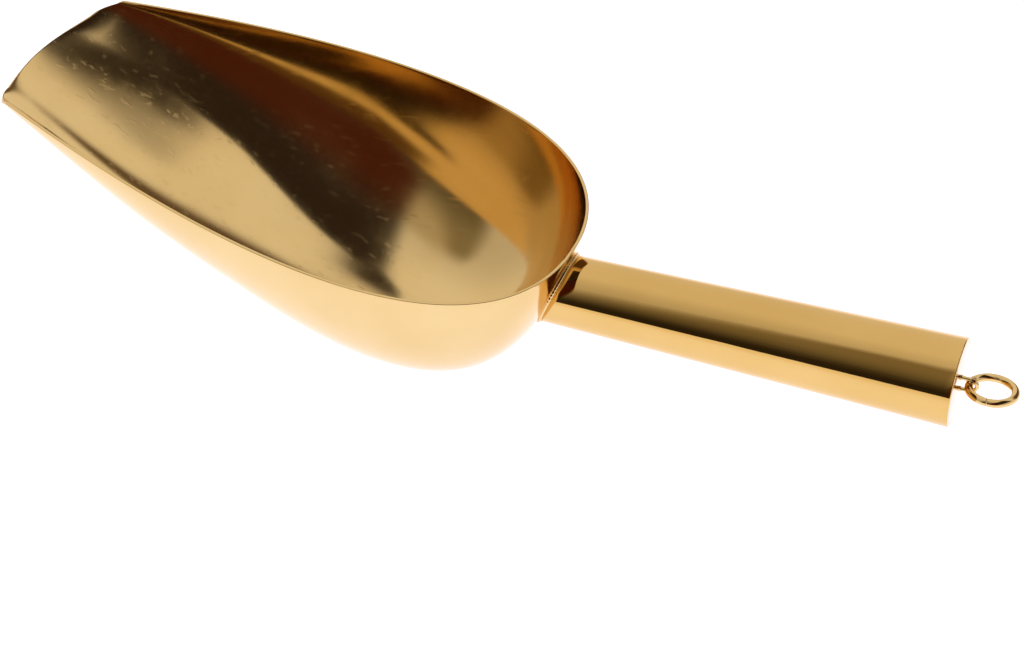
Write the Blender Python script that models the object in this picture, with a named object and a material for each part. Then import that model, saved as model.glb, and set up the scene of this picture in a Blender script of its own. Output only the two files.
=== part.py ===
"""Ice scoop: a deep drawn bowl, a tapered tube handle with a welded joint and an end cap, and a hanging ring in an eye.

Lengths are in metres. The drawing frame has the handle axis on X, its rear end face at X = 0 and the mouth toward -X.
Every piece is then moved so that the origin lies under the middle of the whole scoop, at its lowest point.
"""

import math

import bpy
import numpy as np

MM = 0.001

# Bowl, in plan. The rim runs from the mouth to its rear point as one cubic curve, mirrored about the XZ plane.
MOUTH_X = -242.6 * MM
REAR_X = -93.7 * MM
MOUTH_HALF_WIDTH = 23.9 * MM
RIM_FRONT_HANDLE = (-114.2 * MM, 62.4 * MM)
RIM_REAR_HANDLE = (-93.7 * MM, 26.4 * MM)
CORNER_RADIUS = 5.9 * MM
LIP_BULGE = 3.8 * MM
LIP_BULGE_REACH = 0.3

# Bowl, from the side. The keel is one cubic curve from the lip to the rear point; the rim line is almost straight.
LIP_Z = 40.9 * MM
KEEL_FRONT_HANDLE = (-191.2 * MM, 10.4 * MM)
KEEL_REAR_HANDLE = (-117.9 * MM, -73.5 * MM)
RIM_REAR_Z = 14.0 * MM
RIM_RISE = 30.5 * MM
RIM_ARCH = 0.95 * MM

# Bowl sections: flat floored and square at the mouth, elliptical from the middle to the rear. Both faces of the sheet
# are flattened where the outer one would come within FOOT_RISE of the keel's lowest point, so that the bowl stands.
MOUTH_SQUARENESS = 4.5
REAR_SQUARENESS = 2.3
SQUARENESS_START = 0.05
SQUARENESS_SPAN = 0.45
SHEET = 0.8 * MM
FOOT_RISE = 0.8 * MM

# Handle tube, end cap and weld.
HANDLE_END_RADIUS = 10.5 * MM
HANDLE_TAPER = 0.0143
TUBE_WALL = 0.9 * MM
CAP_THICKNESS = 1.5 * MM
CAP_EDGE = 0.2 * MM
GAP = 0.3 * MM
BEAD_RADIUS = 0.4 * MM

# Hanging eye and ring. The ring turns about the middle of its wire where that passes through the eye.
EYE_WIRE_RADIUS = 0.5 * MM
EYE_BOW_RADIUS = 1.75 * MM
RING_WIRE_RADIUS = 0.98 * MM
RING_RADIUS = 5.1 * MM
RING_AXIS_X = 2.2 * MM
RING_SKEW = math.radians(10.0)
RING_SEAM_ANGLE = math.radians(-92.0)
RING_SEAM_GAP = 0.3 * MM

# Mesh resolution.
BOWL_STATIONS = 34
BOWL_COLUMNS = 36
TUBE_SIDES = 40
TUBE_RINGS = 3
BEAD_SIDES = 8
WIRE_SIDES_RESOLUTION = 3
RING_STEPS = 48
EYE_STEPS = 12
CURVE_SAMPLES = 1001
ROOT_STEPS = 30
NORMAL_STEP = 0.01 * MM
FRONT_PASSES = 6

# Finish, shared by every piece: gold coloured, polished stainless steel.
GOLD = (0.83, 0.60, 0.28, 1.0)
GOLD_ROUGHNESS = 0.12


def smooth_step(value):
    t = np.clip(value, 0.0, 1.0)
    return t * t * (3.0 - 2.0 * t)


def cubic_curve(start, first_handle, second_handle, end):
    """Points along a cubic Bezier curve, as an array with one row for each point."""
    points = [np.array(point) for point in (start, first_handle, second_handle, end)]
    t = np.linspace(0.0, 1.0, CURVE_SAMPLES)[:, None]
    weights = ((1 - t) ** 3, 3 * t * (1 - t) ** 2, 3 * t * t * (1 - t), t ** 3)
    return sum(weight * point for weight, point in zip(weights, points))


RIM_CURVE = cubic_curve(
    (MOUTH_X, MOUTH_HALF_WIDTH), RIM_FRONT_HANDLE, RIM_REAR_HANDLE, (REAR_X, 0.0)
)
KEEL_CURVE = cubic_curve(
    (MOUTH_X, LIP_Z), KEEL_FRONT_HANDLE, KEEL_REAR_HANDLE, (REAR_X, RIM_REAR_Z)
)


def rim_half_width(x):
    return np.interp(x, RIM_CURVE[:, 0], RIM_CURVE[:, 1])


def keel_z(x):
    return np.interp(x, KEEL_CURVE[:, 0], KEEL_CURVE[:, 1])


def along(x):
    """0 at the mouth, 1 at the rear point of the rim."""
    return (x - MOUTH_X) / (REAR_X - MOUTH_X)


def rim_z(x):
    from_rear = 1.0 - along(x)
    return RIM_REAR_Z + RIM_RISE * from_rear + 4.0 * RIM_ARCH * from_rear * (1.0 - from_rear)


def sheet_half_width(x):
    """Half width of the sheet itself: the rim, rounded off at the two corners of the mouth."""
    beyond = np.clip(1.0 - (x - MOUTH_X) / CORNER_RADIUS, 0.0, 1.0)
    return rim_half_width(x) - CORNER_RADIUS * (1.0 - np.sqrt(1.0 - beyond * beyond))


def squareness(x):
    """Exponent of the section: 2 is an ellipse, more is squarer."""
    blend = smooth_step((along(x) - SQUARENESS_START) / SQUARENESS_SPAN)
    return MOUTH_SQUARENESS + (REAR_SQUARENESS - MOUTH_SQUARENESS) * blend


def bowl_z(x, y):
    """Height of the bowl's outer surface."""
    depth = np.maximum(rim_z(x) - keel_z(x), 0.0)
    across = np.clip(np.abs(y) / np.maximum(rim_half_width(x), MM * MM), 0.0, 1.0)
    return rim_z(x) - depth * np.sqrt(1.0 - across ** squareness(x))


def bowl_rear_x(y, z):
    """Where a line along X at this y and z meets the outer surface of the rear wall."""
    inside = keel_lowest_x()
    outside = REAR_X
    for _ in range(ROOT_STEPS):
        middle = 0.5 * (inside + outside)
        if abs(y) < rim_half_width(middle) and bowl_z(middle, y) < z:
            inside = middle
        else:
            outside = middle
    return 0.5 * (inside + outside)


def keel_lowest_x():
    return KEEL_CURVE[np.argmin(KEEL_CURVE[:, 1]), 0]


def handle_radius(x):
    return HANDLE_END_RADIUS + HANDLE_TAPER * x


RING_END_X = RING_AXIS_X + 2.0 * RING_RADIUS + RING_WIRE_RADIUS
FOOT_Z = KEEL_CURVE[:, 1].min() + FOOT_RISE
ORIGIN = np.array((0.5 * (MOUTH_X - LIP_BULGE + RING_END_X), 0.0, FOOT_Z))


def gold_material(name):
    material = bpy.data.materials.new(name)
    material.use_nodes = True
    surface = material.node_tree.nodes["Principled BSDF"]
    surface.inputs["Base Color"].default_value = GOLD
    surface.inputs["Metallic"].default_value = 1.0
    surface.inputs["Roughness"].default_value = GOLD_ROUGHNESS
    return material


def add_object(name, data, origin=(0.0, 0.0, 0.0)):
    """Adds the data, drawn about this point of the drawing frame, as one named object."""
    data.materials.append(gold_material(name + "_finish"))
    item = bpy.data.objects.new(name, data)
    item.location = np.array(origin) - ORIGIN
    bpy.context.scene.collection.objects.link(item)
    return item


def mesh_from(name, points, faces):
    mesh = bpy.data.meshes.new(name)
    mesh.from_pydata([tuple(map(float, point)) for point in points], [], faces)
    mesh.polygons.foreach_set("use_smooth", [True] * len(mesh.polygons))
    mesh.update()
    return mesh


def round_wire(name, points, radius, closed=False, origin=(0.0, 0.0, 0.0)):
    """A round wire along these points, with flat ends unless it is closed."""
    curve = bpy.data.curves.new(name, "CURVE")
    curve.dimensions = "3D"
    curve.bevel_depth = radius
    curve.bevel_resolution = WIRE_SIDES_RESOLUTION
    curve.use_fill_caps = not closed
    spline = curve.splines.new("POLY")
    spline.points.add(len(points) - 1)
    for spline_point, point in zip(spline.points, points):
        spline_point.co = (*(np.array(point) - np.array(origin)), 1.0)
    spline.use_cyclic_u = closed
    return add_object(name, curve, origin)


def bowl_level(x, y, z):
    """1 on the bowl's outer surface, more outside it and less inside."""
    down = (rim_z(x) - z) / (rim_z(x) - keel_z(x))
    across = abs(y) / rim_half_width(x)
    return down * down + across ** squareness(x)


def inward_normal(x, y):
    """The unit normal of the outer surface at this plan position, pointing into the bowl."""
    x = float(np.clip(x, MOUTH_X + NORMAL_STEP, REAR_X - NORMAL_STEP))
    here = np.array((x, y, bowl_z(x, y)))
    steps = NORMAL_STEP * np.eye(3)
    slope = np.array([bowl_level(*(here + step)) - bowl_level(*(here - step)) for step in steps])
    return -slope / np.linalg.norm(slope)


def bowl_faces():
    """Points in rows across the bowl, from the lip to the rear: those of the outer surface, then of the inner one."""
    stations = 0.5 * (1.0 - np.cos(np.linspace(0.0, math.pi, BOWL_STATIONS + 1)))
    stations = MOUTH_X + (REAR_X - MOUTH_X) * stations
    across = np.sin(np.linspace(-0.5 * math.pi, 0.5 * math.pi, BOWL_COLUMNS + 1))
    points = []
    normals = []
    for x in stations[:-1]:
        bulge = LIP_BULGE * (1.0 - smooth_step(along(x) / LIP_BULGE_REACH))
        for share in across:
            y = sheet_half_width(x) * share
            points.append((x - bulge * (1.0 - share * share), y, bowl_z(x, y)))
            normals.append(inward_normal(x, y))
    points.append((REAR_X, 0.0, RIM_REAR_Z))
    normals.append((-1.0, 0.0, 0.0))
    outside = np.array(points)
    inside = outside + SHEET * np.array(normals)
    lift = np.maximum(FOOT_Z - outside[:, 2], 0.0)
    outside[:, 2] += lift
    inside[:, 2] += lift
    return outside, inside


def add_bowl():
    """The outer surface, the inner one a sheet's thickness inside it, and the cut edge that joins them all round."""
    outside, inside = bowl_faces()
    rear = len(outside) - 1
    width = BOWL_COLUMNS + 1
    last = (BOWL_STATIONS - 1) * width
    faces = []
    for row in range(BOWL_STATIONS - 1):
        for column in range(BOWL_COLUMNS):
            corner = row * width + column
            faces.append((corner, corner + 1, corner + width + 1, corner + width))
    for column in range(BOWL_COLUMNS):
        faces.append((last + column, last + column + 1, rear))
    faces += [tuple(index + rear + 1 for index in face[::-1]) for face in faces]
    lip = list(range(BOWL_COLUMNS, -1, -1))
    near_side = list(range(width, last + 1, width))
    far_side = list(range(last + BOWL_COLUMNS, BOWL_COLUMNS, -width))
    edge = lip + near_side + [rear] + far_side
    for here, after in zip(edge, edge[1:] + edge[:1]):
        faces.append((here, after, after + rear + 1, here + rear + 1))
    points = np.vstack((outside, inside))
    return add_object("scoop_bowl", mesh_from("scoop_bowl", points, faces))


def tube_front_x(angle, inset):
    """The front end of the tube at this angle, this far inside its outer surface: the bowl's wall, less the gap."""
    x = REAR_X
    for _ in range(FRONT_PASSES):
        radius = handle_radius(x) - inset
        x = bowl_rear_x(radius * math.sin(angle), radius * math.cos(angle)) + GAP
    return x


def add_tube():
    """A tapered tube whose front end follows the bowl's wall: outer rows to the rear, inner rows back to the front."""
    angles = np.linspace(0.0, 2.0 * math.pi, TUBE_SIDES, endpoint=False)
    shares = np.linspace(0.0, 1.0, TUBE_RINGS)
    rows = [(share, 0.0) for share in shares] + [(share, TUBE_WALL) for share in shares[::-1]]
    points = []
    for share, inset in rows:
        for angle in angles:
            x = tube_front_x(angle, inset) * (1.0 - share)
            radius = handle_radius(x) - inset
            points.append((x, radius * math.sin(angle), radius * math.cos(angle)))
    faces = []
    for row in range(len(rows)):
        here = row * TUBE_SIDES
        there = (row + 1) % len(rows) * TUBE_SIDES
        for side in range(TUBE_SIDES):
            after = (side + 1) % TUBE_SIDES
            faces.append((here + side, there + side, there + after, here + after))
    return add_object("handle_tube", mesh_from("handle_tube", points, faces))


def add_weld_bead():
    """A thin bead lying in the corner between the tube and the bowl, just clear of both."""
    reach = BEAD_RADIUS + GAP
    points = []
    for angle in np.linspace(0.0, 2.0 * math.pi, TUBE_SIDES, endpoint=False):
        x = tube_front_x(angle, -reach) - GAP + reach
        radius = handle_radius(x) + reach
        points.append((x, radius * math.sin(angle), radius * math.cos(angle)))
    return round_wire("handle_weld_bead", points, BEAD_RADIUS, closed=True)


def add_end_cap():
    bpy.ops.mesh.primitive_cylinder_add(
        vertices=TUBE_SIDES,
        radius=HANDLE_END_RADIUS - TUBE_WALL - GAP,
        depth=CAP_THICKNESS,
        rotation=(0.0, 0.5 * math.pi, 0.0),
        location=np.array((-0.5 * CAP_THICKNESS, 0.0, 0.0)) - ORIGIN,
    )
    cap = bpy.context.object
    cap.name = "handle_end_cap"
    cap.data.name = cap.name
    cap.data.materials.append(gold_material("handle_end_cap_finish"))
    edge = cap.modifiers.new("Edge", "BEVEL")
    edge.width = CAP_EDGE
    edge.segments = 1
    return cap


def add_eye():
    """A wire bent to a U: two legs standing on the cap and a bow round the ring's wire, in the XZ plane."""
    points = [(GAP, 0.0, EYE_BOW_RADIUS)]
    for angle in np.linspace(0.5 * math.pi, -0.5 * math.pi, EYE_STEPS + 1):
        x = RING_AXIS_X + EYE_BOW_RADIUS * math.cos(angle)
        points.append((x, 0.0, EYE_BOW_RADIUS * math.sin(angle)))
    points.append((GAP, 0.0, -EYE_BOW_RADIUS))
    return round_wire("hanging_eye", points, EYE_WIRE_RADIUS)


def add_ring():
    """A wire bent to a ring, its two ends facing each other across a narrow seam."""
    half_seam = 0.5 * RING_SEAM_GAP / RING_RADIUS
    turn = np.linspace(half_seam, 2.0 * math.pi - half_seam, RING_STEPS + 1) + RING_SEAM_ANGLE
    points = []
    for angle in turn:
        side = RING_RADIUS * math.sin(angle)
        x = RING_AXIS_X + RING_RADIUS * (1.0 + math.cos(angle))
        points.append((x, side * math.cos(RING_SKEW), -side * math.sin(RING_SKEW)))
    return round_wire("hanging_ring", points, RING_WIRE_RADIUS, origin=(RING_AXIS_X, 0.0, 0.0))


def main():
    for item in list(bpy.data.objects):
        bpy.data.objects.remove(item, do_unlink=True)
    add_bowl()
    add_tube()
    add_weld_bead()
    add_end_cap()
    add_eye()
    add_ring()


main()
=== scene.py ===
"""Ice scoop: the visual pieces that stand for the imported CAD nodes, their finish, a floor and a surround."""
import math

import bpy
import numpy as np
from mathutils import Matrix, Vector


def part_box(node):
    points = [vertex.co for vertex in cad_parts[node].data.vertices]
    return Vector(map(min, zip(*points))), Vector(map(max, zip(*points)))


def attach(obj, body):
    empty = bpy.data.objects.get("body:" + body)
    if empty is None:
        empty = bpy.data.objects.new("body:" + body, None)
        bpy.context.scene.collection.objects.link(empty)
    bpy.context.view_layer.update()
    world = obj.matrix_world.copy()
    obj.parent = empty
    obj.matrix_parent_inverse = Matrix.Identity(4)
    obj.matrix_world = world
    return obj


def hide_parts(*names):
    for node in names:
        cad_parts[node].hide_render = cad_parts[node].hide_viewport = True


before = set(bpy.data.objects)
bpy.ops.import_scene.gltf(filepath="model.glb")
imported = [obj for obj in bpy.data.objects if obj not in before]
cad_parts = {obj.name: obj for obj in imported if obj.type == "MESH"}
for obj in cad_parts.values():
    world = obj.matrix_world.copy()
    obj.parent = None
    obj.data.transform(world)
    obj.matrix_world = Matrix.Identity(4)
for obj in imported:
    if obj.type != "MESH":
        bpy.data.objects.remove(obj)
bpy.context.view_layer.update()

MM = 0.001

# The drawing frame has the handle axis on X and its end face at X = 0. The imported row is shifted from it.
CAP_LOW, CAP_HIGH = (np.array(corner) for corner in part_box("handle_end_cap"))
SHIFT = np.array((CAP_HIGH[0], 0.5 * (CAP_LOW[1] + CAP_HIGH[1]), 0.5 * (CAP_LOW[2] + CAP_HIGH[2])))

# Bowl, in plan and from the side.
MOUTH_X = -242.6 * MM
REAR_X = -93.7 * MM
MOUTH_HALF_WIDTH = 23.9 * MM
RIM_FRONT_HANDLE = (-114.2 * MM, 62.4 * MM)
RIM_REAR_HANDLE = (-93.7 * MM, 26.4 * MM)
CORNER_RADIUS = 5.9 * MM
LIP_BULGE = 3.8 * MM
LIP_BULGE_REACH = 0.3
LIP_Z = 40.9 * MM
KEEL_FRONT_HANDLE = (-191.2 * MM, 10.4 * MM)
KEEL_REAR_HANDLE = (-117.9 * MM, -73.5 * MM)
RIM_REAR_Z = 14.0 * MM
RIM_RISE = 30.5 * MM
RIM_ARCH = 0.95 * MM
MOUTH_SQUARENESS = 4.5
REAR_SQUARENESS = 2.3
SQUARENESS_START = 0.05
SQUARENESS_SPAN = 0.45
SHEET = 0.8 * MM
RIM_ROUNDING = 0.22 * MM
RIM_STEPS = 12
RIM_POWER = 2.8

# Handle, cap, weld, eye and ring.
HANDLE_END_RADIUS = 10.5 * MM
HANDLE_TAPER = 0.0143
TUBE_WALL = 0.9 * MM
CAP_THICKNESS = 1.5 * MM
TUBE_END_ROUNDING = 0.3 * MM
CAP_DOME = 0.16 * MM
CAP_EDGE = 0.12 * MM
CAP_SEAM = 0.03 * MM
BEAD_RADIUS = 0.46 * MM
BEAD_PITCH = 0.95 * MM
BEAD_RIPPLE = 0.10
EYE_WIRE_RADIUS = 0.5 * MM
EYE_BOW_RADIUS = 1.75 * MM
EYE_FOOT_FLARE = 0.35 * MM
RING_WIRE_RADIUS = 0.98 * MM
RING_RADIUS = 5.1 * MM
RING_AXIS_X = 2.2 * MM
RING_SKEW = math.radians(10.0)
RING_SEAM_ANGLE = math.radians(-92.0)
RING_SEAM_GAP = 0.1 * MM
TUBE_FRONT_OVERLAP = 0.15 * MM
BEAD_LIFT = 0.12 * MM
BEAD_WANDER = ((0.06, 7.0, 0.0), (0.04, 2.7, 1.0))
BEAD_CREST = 0.38
BEAD_SWELL = 0.4
EYE_FOOT_DEPTH = 0.1 * MM
EYE_FLARE_REACH = 0.28 * MM
RING_END_ROUNDING = 0.14 * MM

# Mesh resolution.
STATIONS = 200
COLUMNS = 150
CURVE_SAMPLES = 20001
NORMAL_STEP = 0.05 * MM
ROOT_STEPS = 40
TUBE_SIDES = 192
TUBE_ROWS = 49
TUBE_END_STEPS = 8
TUBE_MOUTH_STEPS = 5
BORE_ROWS = 4
BORE_REAR_SHARE = 0.97
CAP_RINGS = 25
EDGE_STEPS = 6
BEAD_STEPS = 720
BEAD_SIDES = 20
EYE_LEG_STEPS = 14
EYE_BOW_STEPS = 40
EYE_SIDES = 24
RING_STEPS = 220
RING_SIDES = 40
FRAME_SEED = (0.12, 0.31, 0.94)


def smooth_step(value):
    t = np.clip(value, 0.0, 1.0)
    return t * t * (3.0 - 2.0 * t)


def cubic_curve(start, first_handle, second_handle, end):
    points = [np.array(point) for point in (start, first_handle, second_handle, end)]
    t = np.linspace(0.0, 1.0, CURVE_SAMPLES)[:, None]
    weights = ((1 - t) ** 3, 3 * t * (1 - t) ** 2, 3 * t * t * (1 - t), t ** 3)
    return sum(weight * point for weight, point in zip(weights, points))


RIM_CURVE = cubic_curve((MOUTH_X, MOUTH_HALF_WIDTH), RIM_FRONT_HANDLE, RIM_REAR_HANDLE, (REAR_X, 0.0))
KEEL_CURVE = cubic_curve((MOUTH_X, LIP_Z), KEEL_FRONT_HANDLE, KEEL_REAR_HANDLE, (REAR_X, RIM_REAR_Z))
KEEL_LOWEST_X = KEEL_CURVE[np.argmin(KEEL_CURVE[:, 1]), 0]


def rim_half_width(x):
    return np.interp(x, RIM_CURVE[:, 0], RIM_CURVE[:, 1])


def keel_z(x):
    return np.interp(x, KEEL_CURVE[:, 0], KEEL_CURVE[:, 1])


def along(x):
    return (x - MOUTH_X) / (REAR_X - MOUTH_X)


def rim_z(x):
    from_rear = 1.0 - along(x)
    return RIM_REAR_Z + RIM_RISE * from_rear + 4.0 * RIM_ARCH * from_rear * (1.0 - from_rear)


def sheet_half_width(x):
    beyond = np.clip(1.0 - (x - MOUTH_X) / CORNER_RADIUS, 0.0, 1.0)
    return rim_half_width(x) - CORNER_RADIUS * (1.0 - np.sqrt(1.0 - beyond * beyond))


def squareness(x):
    blend = smooth_step((along(x) - SQUARENESS_START) / SQUARENESS_SPAN)
    return MOUTH_SQUARENESS + (REAR_SQUARENESS - MOUTH_SQUARENESS) * blend


def bowl_z(x, y):
    depth = np.maximum(rim_z(x) - keel_z(x), 0.0)
    across = np.clip(np.abs(y) / np.maximum(rim_half_width(x), 1e-6), 0.0, 1.0)
    return rim_z(x) - depth * np.sqrt(1.0 - across ** squareness(x))


def bowl_level(x, y, z):
    down = (rim_z(x) - z) / (rim_z(x) - keel_z(x))
    across = np.abs(y) / rim_half_width(x)
    return down * down + across ** squareness(x)


def inward_normals(points):
    """Unit normals of the outer surface at these points, pointing into the bowl."""
    x = np.clip(points[:, 0], MOUTH_X + 2 * NORMAL_STEP, REAR_X - 2 * NORMAL_STEP)
    y = points[:, 1]
    z = bowl_z(x, y)
    h = NORMAL_STEP
    slope = np.stack((
        bowl_level(x + h, y, z) - bowl_level(x - h, y, z),
        bowl_level(x, y + h, z) - bowl_level(x, y - h, z),
        bowl_level(x, y, z + h) - bowl_level(x, y, z - h),
    ), axis=1)
    return -slope / np.linalg.norm(slope, axis=1)[:, None]


def bowl_rear_x(y, z):
    """Where lines along X at these y and z meet the outer surface of the rear wall."""
    inside = np.full_like(y, KEEL_LOWEST_X)
    outside = np.full_like(y, REAR_X)
    for _ in range(ROOT_STEPS):
        middle = 0.5 * (inside + outside)
        within = (np.abs(y) < rim_half_width(middle)) & (bowl_z(middle, y) < z)
        inside = np.where(within, middle, inside)
        outside = np.where(within, outside, middle)
    return 0.5 * (inside + outside)


def handle_radius(x):
    return HANDLE_END_RADIUS + HANDLE_TAPER * x


def tube_front_x(angles, inset):
    x = np.full_like(angles, REAR_X)
    for _ in range(8):
        radius = handle_radius(x) - inset
        x = bowl_rear_x(radius * np.sin(angles), radius * np.cos(angles))
    return x


# ---------------------------------------------------------------- pieces

def piece_from(name, points, faces, body, material):
    mesh = bpy.data.meshes.new(name)
    shifted = np.asarray(points, float) + SHIFT
    mesh.from_pydata([tuple(map(float, point)) for point in shifted], [], faces)
    mesh.polygons.foreach_set("use_smooth", [True] * len(mesh.polygons))
    mesh.update()
    mesh.materials.append(material)
    item = bpy.data.objects.new(name, mesh)
    bpy.context.scene.collection.objects.link(item)
    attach(item, body)
    return item


def grid_faces(rows, width, closed_rows=False):
    faces = []
    for row in range(rows if closed_rows else rows - 1):
        here = row * width
        there = (row + 1) % rows * width
        for column in range(width):
            after = (column + 1) % width
            faces.append((here + column, here + after, there + after, there + column))
    return faces


def swept(name, points, radii, sides, closed, body, material):
    """A round wire along these points, with flat ends unless closed, and no twist along it."""
    points = np.asarray(points, float)
    count = len(points)
    if closed:
        tangents = np.roll(points, -1, axis=0) - np.roll(points, 1, axis=0)
    else:
        tangents = np.gradient(points, axis=0)
    tangents /= np.linalg.norm(tangents, axis=1)[:, None]
    side = np.cross(tangents[0], FRAME_SEED)
    side /= np.linalg.norm(side)
    turn = np.linspace(0.0, 2.0 * math.pi, sides, endpoint=False)
    frames = []
    for tangent in tangents:
        side = side - tangent * np.dot(side, tangent)
        side /= np.linalg.norm(side)
        frames.append((side.copy(), np.cross(tangent, side)))
    rings = []
    for point, radius, (across, up) in zip(points, radii, frames):
        rings.append(point + radius * (np.cos(turn)[:, None] * across + np.sin(turn)[:, None] * up))
    verts = np.vstack(rings)
    faces = grid_faces(count, sides, closed_rows=closed)
    if not closed:
        faces.append(tuple(range(sides - 1, -1, -1)))
        faces.append(tuple(range((count - 1) * sides, count * sides)))
    return piece_from(name, verts, faces, body, material)


def build_bowl(material):
    stations = 0.5 * (1.0 - np.cos(np.linspace(0.0, math.pi, STATIONS + 1)))[:-1]
    stations = MOUTH_X + (REAR_X - MOUTH_X) * stations
    shares = np.sin(np.linspace(-0.5 * math.pi, 0.5 * math.pi, COLUMNS + 1))
    plan = np.array([(x, sheet_half_width(x) * share) for x in stations for share in shares])
    outer = np.column_stack((plan, bowl_z(plan[:, 0], plan[:, 1])))
    normals = inward_normals(outer)
    share_column = np.tile(shares, len(stations))
    bulge = LIP_BULGE * (1.0 - smooth_step(along(outer[:, 0]) / LIP_BULGE_REACH))
    outer[:, 0] -= bulge * (1.0 - share_column ** 2)
    outer = np.vstack((outer, (REAR_X, 0.0, RIM_REAR_Z)))
    normals = np.vstack((normals, (-1.0, 0.0, 0.0)))

    width = COLUMNS + 1
    rear = len(outer) - 1
    last = (STATIONS - 1) * width
    lip = list(range(COLUMNS, -1, -1))
    near_side = list(range(width, last + 1, width))
    far_side = list(range(last + COLUMNS, COLUMNS, -width))
    border = np.array(lip + near_side + [rear] + far_side)

    edge = outer[border]
    tangent = np.roll(edge, -1, axis=0) - np.roll(edge, 1, axis=0)
    tangent /= np.linalg.norm(tangent, axis=1)[:, None]
    out_of_sheet = np.cross(tangent, normals[border])
    middle = np.array((0.5 * (MOUTH_X + REAR_X), 0.0, 0.0))
    outward = ((edge - middle) * out_of_sheet).sum(axis=1)
    if np.median(outward) < 0.0:
        out_of_sheet = -out_of_sheet
    out_of_sheet /= np.linalg.norm(out_of_sheet, axis=1)[:, None]

    inner = outer + SHEET * normals
    outer[border] -= RIM_ROUNDING * out_of_sheet
    inner[border] -= RIM_ROUNDING * out_of_sheet

    faces = []
    for row in range(STATIONS - 1):
        for column in range(COLUMNS):
            corner = row * width + column
            faces.append((corner, corner + width, corner + width + 1, corner + 1))
    for column in range(COLUMNS):
        faces.append((last + column, rear, last + column + 1))
    outer_count = len(outer)
    faces = [face[::-1] for face in faces] + [tuple(i + outer_count for i in face) for face in faces]

    points = [outer, inner]
    loops = [border]
    start = 2 * outer_count
    for step in range(1, RIM_STEPS):
        angle = math.pi * step / RIM_STEPS
        across = math.copysign(abs(math.cos(angle)) ** (2.0 / RIM_POWER), math.cos(angle))
        proud = math.sin(angle) ** (2.0 / RIM_POWER)
        ring = outer[border] + normals[border] * (SHEET * 0.5 * (1.0 - across))
        points.append(ring + out_of_sheet * (RIM_ROUNDING * proud))
        loops.append(start + np.arange(len(border)))
        start += len(border)
    loops.append(border + outer_count)
    count = len(border)
    for first, second in zip(loops[:-1], loops[1:]):
        for i in range(count):
            j = (i + 1) % count
            faces.append((int(first[i]), int(first[j]), int(second[j]), int(second[i])))
    item = piece_from("bowl_shell", np.vstack(points), faces, "scoop", material)
    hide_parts("scoop_bowl")


def build_tube(material):
    angles = np.linspace(0.0, 2.0 * math.pi, TUBE_SIDES, endpoint=False)
    rows = []

    def circle(x, radius):
        return np.column_stack((x, radius * np.sin(angles), radius * np.cos(angles)))

    def row_at(share, inset, offset):
        x = tube_front_x(angles, inset) * (1.0 - share) + offset
        return circle(x, handle_radius(x) - inset)

    for share in np.linspace(0.0, 1.0, TUBE_ROWS)[:-1]:
        rows.append(row_at(share, 0.0, -TUBE_FRONT_OVERLAP * (1.0 - share)))
    for turn in np.linspace(0.0, 0.5 * math.pi, TUBE_END_STEPS):
        x = -TUBE_END_ROUNDING * (1.0 - math.sin(turn))
        radius = HANDLE_END_RADIUS - TUBE_END_ROUNDING * (1.0 - math.cos(turn))
        rows.append(circle(np.full_like(angles, x), radius))
    inner_radius = HANDLE_END_RADIUS - TUBE_WALL
    for turn in np.linspace(0.5 * math.pi, 0.0, TUBE_MOUTH_STEPS):
        x = -CAP_EDGE * (1.0 - math.sin(turn))
        radius = inner_radius + CAP_EDGE * (1.0 - math.cos(turn))
        rows.append(circle(np.full_like(angles, x), radius))
    for share in np.linspace(BORE_REAR_SHARE, 0.0, BORE_ROWS):
        rows.append(row_at(share, TUBE_WALL, -TUBE_FRONT_OVERLAP * (1.0 - share)))
    faces = grid_faces(len(rows), TUBE_SIDES, closed_rows=True)
    faces = [face[::-1] for face in faces]
    item = piece_from("handle_shell", np.vstack(rows), faces, "scoop", material)
    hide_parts("handle_tube")


def build_bead(material):
    """A thin weld bead, its surface in the small overlapping steps that such a bead has."""
    angles = np.linspace(0.0, 2.0 * math.pi, BEAD_STEPS, endpoint=False)
    x = tube_front_x(angles, -BEAD_LIFT) + BEAD_LIFT
    radius = handle_radius(x) + BEAD_LIFT
    points = np.column_stack((x, radius * np.sin(angles), radius * np.cos(angles)))
    lengths = np.linalg.norm(np.roll(points, -1, axis=0) - points, axis=1)
    run = np.concatenate(((0.0,), np.cumsum(lengths)[:-1]))
    count = round(lengths.sum() / BEAD_PITCH)
    phase = run / lengths.sum() * count
    wander = sum(size * np.sin(2.0 * math.pi * phase / period + start) for size, period, start in BEAD_WANDER)
    saw = np.mod(phase + wander, 1.0)
    ripple = 1.0 - BEAD_RIPPLE * (2.0 * np.abs(saw - BEAD_CREST)) ** 2 + BEAD_SWELL * wander
    radii = BEAD_RADIUS * ripple
    item = swept("handle_weld", points, radii, BEAD_SIDES, True, "scoop", material)
    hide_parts("handle_weld_bead")


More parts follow.
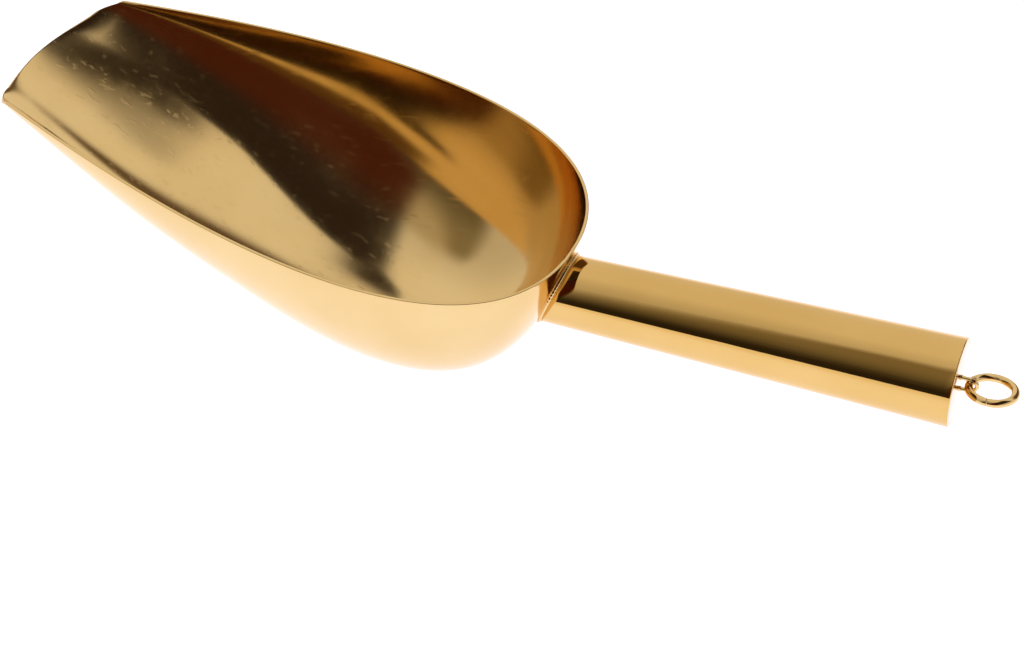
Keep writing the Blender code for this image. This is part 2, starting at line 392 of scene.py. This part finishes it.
def build_cap(material):
    """The end cap: a shallow dome set in the tube's mouth with a hairline seam round it."""
    outer = HANDLE_END_RADIUS - TUBE_WALL - CAP_SEAM
    profile = []
    for share in np.linspace(0.0, 1.0, CAP_RINGS)[1:]:
        radius = (outer - CAP_EDGE) * share
        profile.append((CAP_DOME * (1.0 - share * share), radius))
    for turn in np.linspace(0.5 * math.pi, 0.0, EDGE_STEPS)[1:]:
        profile.append((-CAP_EDGE * (1.0 - math.sin(turn)), outer - CAP_EDGE * (1.0 - math.cos(turn))))
    profile.append((-CAP_THICKNESS, outer))
    angles = np.linspace(0.0, 2.0 * math.pi, TUBE_SIDES, endpoint=False)
    verts = [(CAP_DOME, 0.0, 0.0)]
    for x, radius in profile:
        verts += [(x, radius * math.sin(a), radius * math.cos(a)) for a in angles]
    verts.append((-CAP_THICKNESS, 0.0, 0.0))
    faces = [(0, 1 + (i + 1) % TUBE_SIDES, 1 + i) for i in range(TUBE_SIDES)]
    body = grid_faces(len(profile), TUBE_SIDES)
    faces += [tuple(index + 1 for index in face) for face in body]
    base = 1 + (len(profile) - 1) * TUBE_SIDES
    end = len(verts) - 1
    faces += [(end, base + i, base + (i + 1) % TUBE_SIDES) for i in range(TUBE_SIDES)]
    item = piece_from("handle_cap", verts, faces, "scoop", material)
    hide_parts("handle_end_cap")


def build_eye(material):
    points = []
    radii = []
    foot = -EYE_FOOT_DEPTH
    for x in np.linspace(foot, RING_AXIS_X, EYE_LEG_STEPS)[:-1]:
        points.append((x, 0.0, EYE_BOW_RADIUS))
        radii.append(EYE_WIRE_RADIUS + EYE_FOOT_FLARE * math.exp(-(x - foot) / EYE_FLARE_REACH))
    for angle in np.linspace(0.5 * math.pi, -0.5 * math.pi, EYE_BOW_STEPS):
        x = RING_AXIS_X + EYE_BOW_RADIUS * math.cos(angle)
        points.append((x, 0.0, EYE_BOW_RADIUS * math.sin(angle)))
        radii.append(EYE_WIRE_RADIUS)
    for x in np.linspace(RING_AXIS_X, foot, EYE_LEG_STEPS)[1:]:
        points.append((x, 0.0, -EYE_BOW_RADIUS))
        radii.append(EYE_WIRE_RADIUS + EYE_FOOT_FLARE * math.exp(-(x - foot) / EYE_FLARE_REACH))
    item = swept("ring_eye", points, radii, EYE_SIDES, False, "scoop", material)
    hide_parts("hanging_eye")


def build_ring(material):
    half_seam = 0.5 * RING_SEAM_GAP / RING_RADIUS
    edge = RING_END_ROUNDING
    half_turn = math.pi - half_seam
    shares = np.concatenate((
        -half_turn + edge / RING_RADIUS * (1.0 - np.cos(np.linspace(0.0, 0.5 * math.pi, EDGE_STEPS))),
        np.linspace(-half_turn + 1.2 * edge / RING_RADIUS, half_turn - 1.2 * edge / RING_RADIUS, RING_STEPS),
        half_turn - edge / RING_RADIUS * (1.0 - np.cos(np.linspace(0.5 * math.pi, 0.0, EDGE_STEPS))),
    ))
    points = []
    radii = []
    for share in shares:
        angle = math.pi + share + RING_SEAM_ANGLE
        side = RING_RADIUS * math.sin(angle)
        x = RING_AXIS_X + RING_RADIUS * (1.0 + math.cos(angle))
        points.append((x, side * math.cos(RING_SKEW), -side * math.sin(RING_SKEW)))
        from_end = (half_turn - abs(share)) * RING_RADIUS
        dip = max(0.0, 1.0 - from_end / edge)
        radii.append(RING_WIRE_RADIUS - edge * (1.0 - math.sqrt(max(0.0, 1.0 - dip * dip))))
    item = swept("pull_ring", points, radii, RING_SIDES, False, "ring", material)
    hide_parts("hanging_ring")


# ---------------------------------------------------------------- finish

GOLD = (0.775, 0.530, 0.225, 1.0)
GOLD_DEEP = (0.745, 0.495, 0.195, 1.0)
HANDLE_BASE = (0.735, 0.455, 0.150, 1.0)
HANDLE_DEEP = (0.700, 0.425, 0.130, 1.0)
EDGE_TINT = (1.0, 0.97, 0.93, 1.0)
CLOUD_SCALE = 38.0
CLOUD_BOUNDS = (0.32, 0.70)
FINE_SCALE = 900.0
FINE_SHARE = 0.25
SMUDGE_SCALE = 55.0
SMUDGE_BOUNDS = (0.42, 0.74)
SCRATCH_SETS = ((0.35, 520.0), (1.25, 640.0), (2.3, 580.0))
SCRATCH_STRETCH = (0.035, 1.0, 1.0)
SCRATCH_BOUNDS = (0.66, 0.72)
SCRATCH_ROUGHNESS = 0.05
SCRATCH_DEPTH = -0.004
WAVE_DEPTH = 0.06
LINE_STRETCH = (0.02, 1.0, 1.0)
LINE_SCALE = 420.0


class Nodes:
    def __init__(self, tree):
        self.tree = tree

    def new(self, kind, **inputs):
        node = self.tree.nodes.new(kind)
        for key, value in inputs.items():
            setattr(node, key, value)
        return node

    def link(self, output, socket):
        self.tree.links.new(output, socket)

    def math(self, operation, first, second=None, clamp=False):
        node = self.new("ShaderNodeMath", operation=operation, use_clamp=clamp)
        for index, value in enumerate((first, second)):
            if value is None:
                continue
            if isinstance(value, (int, float)):
                node.inputs[index].default_value = value
            else:
                self.link(value, node.inputs[index])
        return node.outputs[0]

    def product(self, first, *others):
        for other in others:
            first = self.math("MULTIPLY", first, other)
        return first

    def mapping(self, vector, scale, rotation=(0.0, 0.0, 0.0)):
        node = self.new("ShaderNodeMapping")
        node.inputs["Scale"].default_value = scale
        node.inputs["Rotation"].default_value = rotation
        self.link(vector, node.inputs["Vector"])
        return node.outputs[0]

    def noise(self, vector, scale, detail=3.0, roughness=0.5):
        node = self.new("ShaderNodeTexNoise")
        node.inputs["Scale"].default_value = scale
        node.inputs["Detail"].default_value = detail
        node.inputs["Roughness"].default_value = roughness
        self.link(vector, node.inputs["Vector"])
        return node.outputs["Fac"]

    def ramp(self, value, low, high, to_low=0.0, to_high=1.0):
        node = self.new("ShaderNodeMapRange", interpolation_type="SMOOTHSTEP")
        node.inputs["From Min"].default_value = low
        node.inputs["From Max"].default_value = high
        node.inputs["To Min"].default_value = to_low
        node.inputs["To Max"].default_value = to_high
        self.link(value, node.inputs["Value"])
        return node.outputs["Result"]

    def mix(self, factor, first, second):
        node = self.new("ShaderNodeMix", data_type="RGBA")
        self.link(factor, node.inputs[0])
        for socket, value in ((node.inputs[6], first), (node.inputs[7], second)):
            if isinstance(value, tuple):
                socket.default_value = value
            else:
                self.link(value, socket)
        return node.outputs[2]


def gold_finish(name, base=GOLD, deep=GOLD_DEEP, roughness=0.035, spread=0.03,
                line_height=0.0, scratch_height=1.0, wave_height=1.0):
    """Polished, gold coloured steel: hairline scratches, faint polishing lines, waviness, uneven gloss."""
    material = bpy.data.materials.new(name)
    material.use_nodes = True
    nodes = Nodes(material.node_tree)
    surface = material.node_tree.nodes["Principled BSDF"]
    coordinates = nodes.new("ShaderNodeTexCoord").outputs["Object"]

    cloud = nodes.noise(coordinates, CLOUD_SCALE, 4.0)
    tone = nodes.mix(nodes.ramp(cloud, *CLOUD_BOUNDS), deep, base)
    nodes.link(tone, surface.inputs["Base Color"])
    surface.inputs["Metallic"].default_value = 1.0
    surface.inputs["Specular Tint"].default_value = EDGE_TINT

    fine = nodes.noise(coordinates, FINE_SCALE)
    smudge = nodes.ramp(nodes.noise(coordinates, SMUDGE_SCALE, 5.0, 0.6), *SMUDGE_BOUNDS)
    masks = []
    for index, (direction, scale) in enumerate(SCRATCH_SETS):
        turned = nodes.mapping(coordinates, SCRATCH_STRETCH, (0.3 * index, 0.2 * index, direction))
        streak = nodes.noise(turned, scale, 2.0, 0.4)
        masks.append(nodes.ramp(streak, *SCRATCH_BOUNDS))
    scratches = nodes.math("ADD", nodes.math("ADD", masks[0], masks[1]), masks[2], clamp=True)
    gloss = nodes.math("MULTIPLY", smudge, spread)
    gloss = nodes.math("ADD", gloss, nodes.math("MULTIPLY", fine, FINE_SHARE * spread))
    gloss = nodes.math("ADD", gloss, nodes.math("MULTIPLY", scratches, SCRATCH_ROUGHNESS))
    gloss = nodes.math("ADD", gloss, roughness)
    nodes.link(gloss, surface.inputs["Roughness"])

    height = nodes.math("MULTIPLY", scratches, SCRATCH_DEPTH * scratch_height)
    height = nodes.math("ADD", height, nodes.math("MULTIPLY", cloud, WAVE_DEPTH * wave_height))
    if line_height:
        drawn = nodes.noise(nodes.mapping(coordinates, LINE_STRETCH), LINE_SCALE, 2.0)
        height = nodes.math("ADD", height, nodes.math("MULTIPLY", drawn, line_height))
    bump = nodes.new("ShaderNodeBump")
    bump.inputs["Strength"].default_value = 1.0
    bump.inputs["Distance"].default_value = MM
    nodes.link(height, bump.inputs["Height"])
    nodes.link(bump.outputs["Normal"], surface.inputs["Normal"])
    return material


BOWL_GOLD = gold_finish("bowl_gold", roughness=0.10, spread=0.05, scratch_height=0.5, wave_height=0.15)
HANDLE_GOLD = gold_finish("handle_gold", base=HANDLE_BASE, deep=HANDLE_DEEP, line_height=0.0015)
WELD_GOLD = gold_finish("weld_gold", roughness=0.12, spread=0.08, wave_height=0.0)
WIRE_GOLD = gold_finish("wire_gold", roughness=0.06, spread=0.05, wave_height=0.0)

build_bowl(BOWL_GOLD)
build_tube(HANDLE_GOLD)
build_bead(WELD_GOLD)
build_cap(HANDLE_GOLD)
build_eye(WIRE_GOLD)
build_ring(WIRE_GOLD)


# ---------------------------------------------------------------- studio

FLOOR_HALF = 4.0
# Painted light: the floor's emission is a pool of light around the scoop, brighter and bluer near it and
# dimmer far off. The metal reflects it, and it washes out the scoop's shadow.
FLOOR_GLOW_NEAR = (1.02, 1.12, 1.45, 1.0)
FLOOR_GLOW_AROUND = (0.86, 0.84, 0.84, 1.0)
FLOOR_GLOW_FAR = (0.60, 0.59, 0.58, 1.0)
FLOOR_BASE = (0.50, 0.50, 0.50, 1.0)
FLOOR_GLOW_STRETCH = (0.45, 1.0, 0.0)
FLOOR_GLOW_NEAR_REACH = (0.0, 0.30)
FLOOR_GLOW_FAR_REACH = (0.50, 2.2)
# The visual bowl keeps its round keel, so the floor lies at the keel's lowest point, under the CAD's flat.
FLOOR_Z = SHIFT[2] + KEEL_CURVE[:, 1].min()


def floor_material():
    material = bpy.data.materials.new("floor_painted_glow")
    material.use_nodes = True
    surface = material.node_tree.nodes["Principled BSDF"]
    surface.inputs["Base Color"].default_value = FLOOR_BASE
    surface.inputs["Roughness"].default_value = 0.9
    surface.inputs["Specular IOR Level"].default_value = 0.0
    nodes = Nodes(material.node_tree)
    distance = nodes.new("ShaderNodeVectorMath", operation="LENGTH")
    place = nodes.mapping(nodes.new("ShaderNodeTexCoord").outputs["Object"], FLOOR_GLOW_STRETCH)
    nodes.link(place, distance.inputs[0])
    # Painted light: emission that is brighter and bluer close to the scoop and fades to a dimmer glow farther
    # out. FLOOR_BASE is the floor's own colour.
    around = nodes.mix(nodes.ramp(distance.outputs["Value"], *FLOOR_GLOW_NEAR_REACH), FLOOR_GLOW_NEAR, FLOOR_GLOW_AROUND)
    far = nodes.ramp(distance.outputs["Value"], *FLOOR_GLOW_FAR_REACH)
    nodes.link(nodes.mix(far, around, FLOOR_GLOW_FAR), surface.inputs["Emission Color"])
    surface.inputs["Emission Strength"].default_value = 1.0
    return material


def build_floor():
    corners = ((-1.0, -1.0), (1.0, -1.0), (1.0, 1.0), (-1.0, 1.0))
    mesh = bpy.data.meshes.new("floor")
    points = [(FLOOR_HALF * x, FLOOR_HALF * y, FLOOR_Z) for x, y in corners]
    mesh.from_pydata(points, [], [(0, 1, 2, 3)])
    mesh.materials.append(floor_material())
    item = bpy.data.objects.new("floor", mesh)
    bpy.context.scene.collection.objects.link(item)


ARCH_AXIS = (0.84, -0.02, -0.54)
ARCH_BROWN = (0.070, 0.018, 0.010, 1.0)
ARCH_BLACK = (0.026, 0.018, 0.016, 1.0)
BACK_SHADE = (0.13, 0.09, 0.06, 1.0)
FRONT_BLACK = (0.030, 0.024, 0.016, 1.0)
FRONT_OLIVE = (0.26, 0.23, 0.16, 1.0)
FRONT_AMBER = (0.50, 0.46, 0.38, 1.0)
SKY_NEAR = (0.62, 0.62, 0.62, 1.0)
SKY_FAR = (0.89, 0.89, 0.89, 1.0)

# Where each mask of the surround begins and ends, in parts of the direction or, for SIDE, of X over -Y.
SKY_Y = (-0.6, 0.3)
FRONT_Y = (-0.20, -0.48)
FRONT_Z = (0.15, 0.85)
FRONT_LEFT_SIDE = (-0.75, -0.38)
FRONT_RIGHT_SIDE = (0.9, 0.3)
AMBER_SIDE = (-0.2, 0.15)
ARCH_INNER_Y = (0.38, 0.55)
ARCH_INNER_LEVELS = (-0.26, -0.34)
ARCH_INNER_EDGE = (-0.03, 0.02)
ARCH_OUTER_Y = (0.30, 0.48)
ARCH_OUTER_LEVELS = (0.45, -0.13)
ARCH_OUTER_EDGE = (0.015, -0.035)
ARCH_END_Y = (0.64, 0.58)
ARCH_START_X = (-0.14, 0.06)
ARCH_SHADE_Y = (-0.8, -0.1)
BACK_X = (0.02, 0.09)
BACK_Y = (0.40, 0.60)
BACK_Z = (0.62, 0.52)


def build_world():
    """A pale surround with soft edged dark regions for the metal to reflect; direct view shows it all pale."""
    world = bpy.data.worlds.new("studio")
    bpy.context.scene.world = world
    world.use_nodes = True
    nodes = Nodes(world.node_tree)
    background = world.node_tree.nodes["Background"]
    direction = nodes.new("ShaderNodeTexCoord").outputs["Generated"]
    split = nodes.new("ShaderNodeSeparateXYZ")
    nodes.link(direction, split.inputs[0])
    along_x, along_y, along_z = split.outputs
    pale = nodes.mix(nodes.ramp(along_y, *SKY_Y), SKY_NEAR, SKY_FAR)

    forward = nodes.math("MAXIMUM", nodes.math("MULTIPLY", along_y, -1.0), 0.05)
    side = nodes.math("DIVIDE", along_x, forward)
    front_light = nodes.mix(nodes.ramp(side, *AMBER_SIDE), FRONT_OLIVE, FRONT_AMBER)
    front_shade = nodes.mix(nodes.ramp(along_z, *FRONT_Z), FRONT_BLACK, front_light)
    front = nodes.product(
        nodes.ramp(along_y, *FRONT_Y), nodes.ramp(side, *FRONT_LEFT_SIDE), nodes.ramp(side, *FRONT_RIGHT_SIDE))
    shaded = nodes.mix(front, pale, front_shade)

    back = nodes.product(
        nodes.ramp(along_z, *BACK_Z), nodes.ramp(along_x, *BACK_X), nodes.ramp(along_y, *BACK_Y))
    shaded = nodes.mix(back, shaded, BACK_SHADE)

    dot = nodes.new("ShaderNodeVectorMath", operation="DOT_PRODUCT")
    nodes.link(direction, dot.inputs[0])
    dot.inputs[1].default_value = ARCH_AXIS
    level = dot.outputs["Value"]
    inner = nodes.math("SUBTRACT", level, nodes.ramp(along_y, *ARCH_INNER_Y, *ARCH_INNER_LEVELS))
    outer = nodes.math("SUBTRACT", level, nodes.ramp(along_y, *ARCH_OUTER_Y, *ARCH_OUTER_LEVELS))
    arch = nodes.product(
        nodes.ramp(inner, *ARCH_INNER_EDGE), nodes.ramp(outer, *ARCH_OUTER_EDGE),
        nodes.ramp(along_y, *ARCH_END_Y), nodes.ramp(along_x, *ARCH_START_X))
    arch_shade = nodes.mix(nodes.ramp(along_y, *ARCH_SHADE_Y), ARCH_BROWN, ARCH_BLACK)
    light = nodes.mix(arch, shaded, arch_shade)
    seen_directly = nodes.new("ShaderNodeLightPath").outputs["Is Camera Ray"]
    light = nodes.mix(seen_directly, light, SKY_FAR)
    nodes.link(light, background.inputs["Color"])
    background.inputs["Strength"].default_value = 1.0


CAMERA_FROM_HANDLE_END = np.array((38.885, -267.186, 260.149)) * MM
CAMERA_ANGLES = (47.5548, 5.1583, 25.0406)
CAMERA_LENS = 56.25
CAMERA_SENSOR = 36.0
CAMERA_CLIP = (0.01, 50.0)


def build_camera():
    data = bpy.data.cameras.new("camera")
    data.lens = CAMERA_LENS
    data.sensor_width = CAMERA_SENSOR
    data.clip_start, data.clip_end = CAMERA_CLIP
    camera = bpy.data.objects.new("camera", data)
    camera.location = SHIFT + CAMERA_FROM_HANDLE_END
    camera.rotation_euler = [math.radians(angle) for angle in CAMERA_ANGLES]
    bpy.context.scene.collection.objects.link(camera)
    bpy.context.scene.camera = camera


build_floor()
build_world()
build_camera()
bpy.context.scene.view_settings.view_transform = "Standard"
